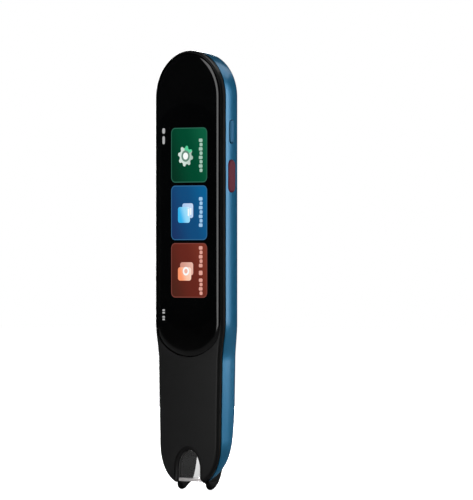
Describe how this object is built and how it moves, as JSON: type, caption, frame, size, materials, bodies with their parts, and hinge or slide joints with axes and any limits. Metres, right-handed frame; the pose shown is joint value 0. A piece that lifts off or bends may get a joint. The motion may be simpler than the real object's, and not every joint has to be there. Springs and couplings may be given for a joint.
{
  "type": "scanning pen",
  "caption": "Hand-held scanning pen with a tall touch screen, blue back shell, side keys, charging port, speaker holes and a sliding fork with round feet that frames the camera at its nose.",
  "frame": {"origin": "on the surface that the tips of the feet touch, under the middle of the pen's bounding box", "axes": "+Z from the feet up along the pen to its round top; -Y is the screen side and +Y the back; +X is the side with the two keys"},
  "size_m": [0.0338, 0.0126, 0.158],
  "materials": {
    "satin_black_plastic": "satin moulded black plastic",
    "blue_lacquered_plastic": "blue pearl lacquer on moulded plastic",
    "red_plastic": "glossy dark red plastic",
    "printed_black_glass": "glass printed black behind",
    "clear_acrylic": "clear acrylic",
    "sheet_steel": "stamped sheet steel",
    "spring_steel": "drawn steel wire and turned screws",
    "solder_mask": "glass-fibre board with green solder mask",
    "moulded_epoxy": "moulded black epoxy",
    "polyimide_film": "amber polyimide film",
    "closed_cell_foam": "closed-cell grey foam",
    "battery_pouch_foil": "matt laminated foil pouch"
  },
  "bodies": {
    "casing": {"front_shell": "satin_black_plastic", "back_shell": "blue_lacquered_plastic", "front_glass": "printed_black_glass", "display_module": "printed_black_glass", "mid_frame": "sheet_steel", "main_board": "solder_mask", "shield_can": "sheet_steel", "processor": "moulded_epoxy", "memory_chip": "moulded_epoxy", "microphone": "sheet_steel", "display_connector": "moulded_epoxy", "camera_connector": "moulded_epoxy", "battery_connector": "moulded_epoxy", "display_ribbon": "polyimide_film", "camera_ribbon": "polyimide_film", "antenna": "polyimide_film", "battery_pad": "closed_cell_foam", "battery": "battery_pouch_foil", "battery_lead_positive": "red_plastic", "battery_lead_negative": "moulded_epoxy", "port_shell": "sheet_steel", "port_tongue": "moulded_epoxy", "power_switch": "sheet_steel", "function_switch": "sheet_steel", "speaker": "moulded_epoxy", "speaker_gasket": "closed_cell_foam", "speaker_mesh": "sheet_steel", "nose_frame": "satin_black_plastic", "camera_module": "moulded_epoxy", "camera_barrel": "moulded_epoxy", "camera_lens": "printed_black_glass", "light_left": "clear_acrylic", "light_right": "clear_acrylic", "nose_window": "clear_acrylic", "trigger_spring_left": "spring_steel", "trigger_spring_right": "spring_steel", "nose_board": "solder_mask", "trigger_switch": "sheet_steel", "frame_screw_1": "spring_steel", "frame_screw_2": "spring_steel", "frame_screw_3": "spring_steel", "frame_screw_4": "spring_steel", "board_screw_1": "spring_steel", "board_screw_2": "spring_steel", "nose_board_screw_1": "spring_steel", "nose_board_screw_2": "spring_steel", "nose_screw_1": "spring_steel", "nose_screw_2": "spring_steel"},
    "power_key": {"power_key": "blue_lacquered_plastic"},
    "function_key": {"function_key": "red_plastic"},
    "scan_fork": {"scan_fork": "satin_black_plastic"}
  },
  "joints": [
    {"name": "power_key_press", "type": "slide", "parent": "casing", "child": "power_key", "axis": [-1, 0, 0], "range_m": [0, 0.00035], "stiffness_N_per_m": 1000, "springref_m": -0.0015},
    {"name": "function_key_press", "type": "slide", "parent": "casing", "child": "function_key", "axis": [-1, 0, 0], "range_m": [0, 0.00035], "stiffness_N_per_m": 1000, "springref_m": -0.0015},
    {"name": "scan_fork_press", "type": "slide", "parent": "casing", "child": "scan_fork", "axis": [0, 0, 1], "range_m": [0, 0.0008], "stiffness_N_per_m": 600, "springref_m": -0.003, "deforming": ["trigger_spring_left", "trigger_spring_right"]}
  ]
}
